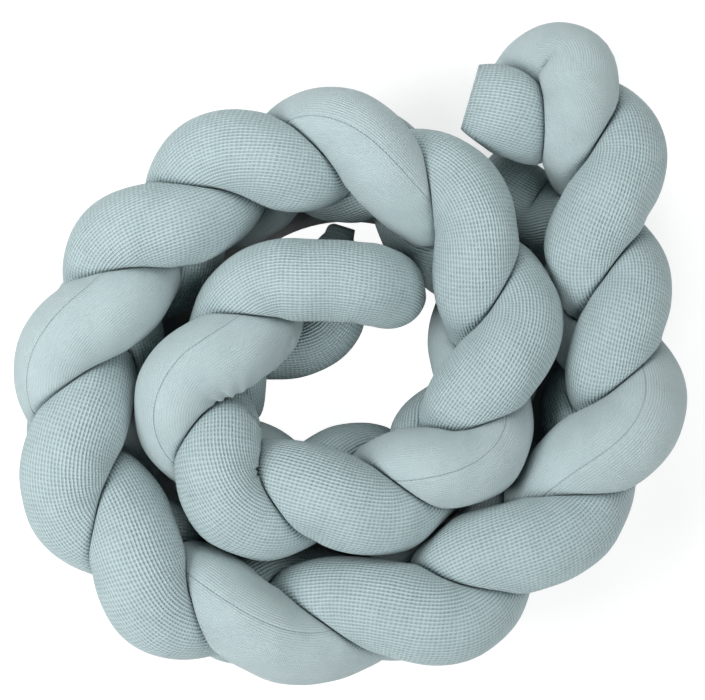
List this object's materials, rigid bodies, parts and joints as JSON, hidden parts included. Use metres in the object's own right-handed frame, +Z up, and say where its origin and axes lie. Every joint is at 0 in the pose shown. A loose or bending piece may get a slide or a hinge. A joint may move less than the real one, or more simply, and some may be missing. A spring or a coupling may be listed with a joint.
{
  "type": "crib bumper",
  "caption": "Braid of stuffed fabric tubes standing on its edge and coiled into a spiral; uncoiled, it lines the inside of a crib's rails as a soft bumper.",
  "frame": {"origin": "middle of the coil's bounding box in plan, on the floor that it lies on", "axes": "+Z up and across the braid's width, +X to the right and +Y away as the coil is seen from above with its outer end at the top right"},
  "size_m": [0.5689, 0.5646, 0.1557],
  "materials": {
    "plain_knit": "pale grey-blue fine cotton knit with thin ribs along the tube and one sewn seam",
    "waffle_knit": "pale grey-blue cotton waffle knit, small raised cells in rows along the tube"
  },
  "bodies": {
    "root": {"strand_plain": "plain_knit", "strand_waffle_a": "waffle_knit", "strand_waffle_b": "waffle_knit"}
  },
  "joints": []
}
